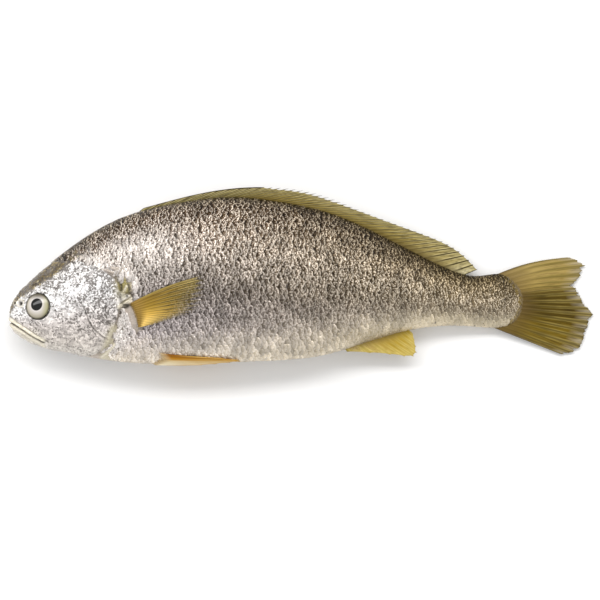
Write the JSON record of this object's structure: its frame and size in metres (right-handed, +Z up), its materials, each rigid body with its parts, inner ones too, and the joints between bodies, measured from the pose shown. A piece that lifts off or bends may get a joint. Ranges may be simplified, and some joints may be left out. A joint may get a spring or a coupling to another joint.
{
  "type": "whole raw fish",
  "caption": "Whole raw silvery food fish lying on its side, ungutted, with scales, a clear eye, a closed mouth and olive-yellow fins folded back.",
  "frame": {"origin": "centre of the outer box's underside, on the surface that the fish lies on", "axes": "+X along the fish from its snout to its tail, +Y from its belly to its back, +Z up out of its left flank"},
  "size_m": [0.2926, 0.0887, 0.0389],
  "materials": {
    "skin": "wet silvery scaled skin, brown along the back, pale along the belly",
    "eye": "wet clear eye with a pale iris round a black pupil"
  },
  "bodies": {
    "root": {"fish": "skin", "eye_left": "eye", "eye_right": "eye"}
  },
  "joints": []
}
